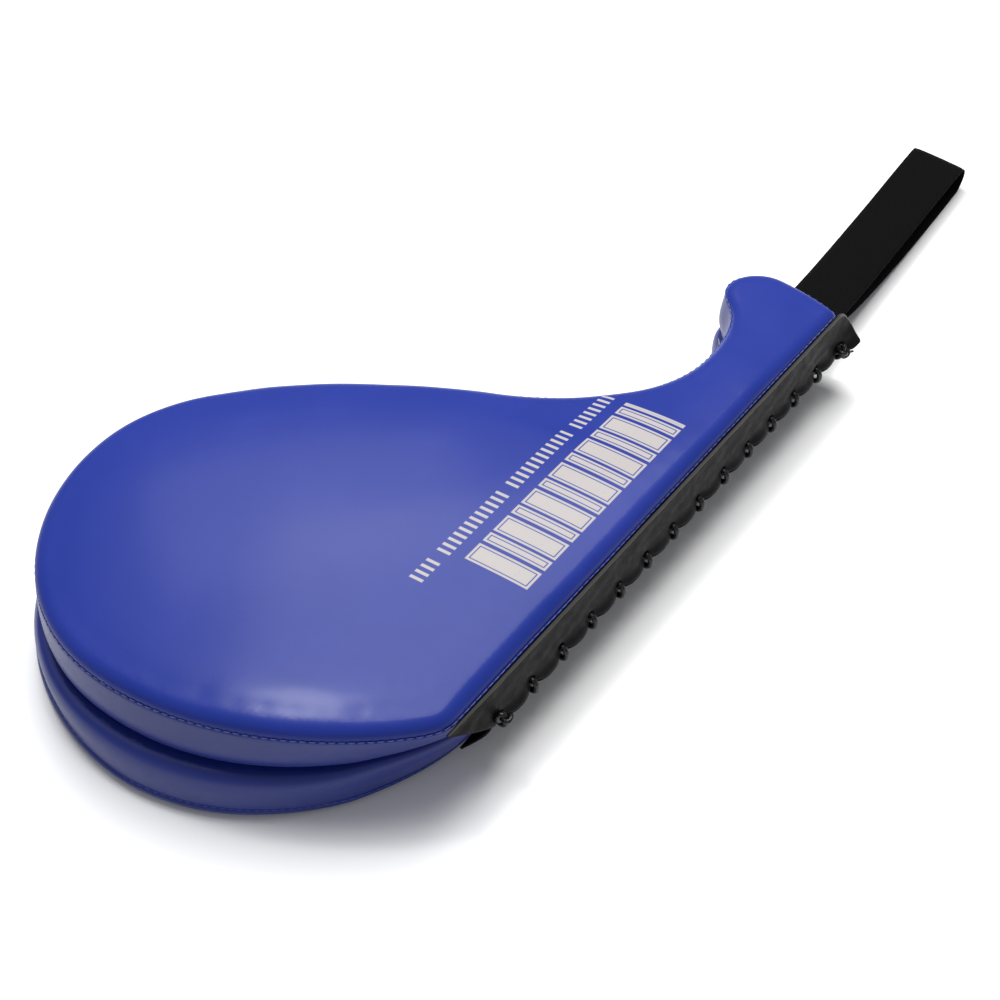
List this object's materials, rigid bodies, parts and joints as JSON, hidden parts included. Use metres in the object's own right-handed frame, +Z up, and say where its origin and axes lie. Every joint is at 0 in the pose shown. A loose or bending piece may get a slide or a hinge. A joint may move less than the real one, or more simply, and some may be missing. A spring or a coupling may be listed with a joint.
{
  "type": "double kick target",
  "caption": "Hand-held padded kick target: paddle-shaped leaves laced together along their straight edge, opening like a book, with a wrist strap loop at the handle end.",
  "frame": {"origin": "under the middle of the box that holds the whole part, on the floor it lies on", "axes": "+X along the laced straight edge from the padded head to the handle end and its strap, +Y from the laced edge towards the curved free edge, +Z up out of the upper struck face"},
  "size_m": [0.5664, 0.2308, 0.0601],
  "materials": {
    "cover_leather": "satin",
    "wall_leather": "satin",
    "lining_leather": "satin",
    "strip_leather": "satin",
    "seam_thread": "satin",
    "lace_cord": "gloss",
    "strap_webbing": "matte",
    "soft_foam": "matte",
    "stiff_foam": "matte",
    "slat_plastic": "satin"
  },
  "bodies": {
    "lower_leaf": {"lower_face_cover": "cover_leather", "lower_side_band": "wall_leather", "lower_seam_thread": "seam_thread", "lower_inner_lining": "lining_leather", "lower_core_board": "stiff_foam", "lower_impact_foam": "soft_foam", "lower_handle_slat": "slat_plastic", "lower_lacing_strip": "strip_leather", "lace": "lace_cord", "strap_tab": "strap_webbing"},
    "upper_leaf": {"upper_face_cover": "cover_leather", "upper_side_band": "wall_leather", "upper_seam_thread": "seam_thread", "upper_inner_lining": "lining_leather", "upper_core_board": "stiff_foam", "upper_impact_foam": "soft_foam", "upper_handle_slat": "slat_plastic", "upper_lacing_strip": "strip_leather"},
    "strap_loop": {"wrist_strap": "strap_webbing"}
  },
  "joints": [
    {"name": "leaf_opening", "type": "hinge", "parent": "lower_leaf", "child": "upper_leaf", "pos_m": [-0.0349, -0.10827, 0.027], "axis": [1, 0, 0], "range_deg": [0, 70]},
    {"name": "strap_swing", "type": "hinge", "parent": "lower_leaf", "child": "strap_loop", "pos_m": [0.10171, -0.08207, 0.027], "axis": [0.0523, -0.9986, 0], "range_deg": [-70, 90]}
  ]
}
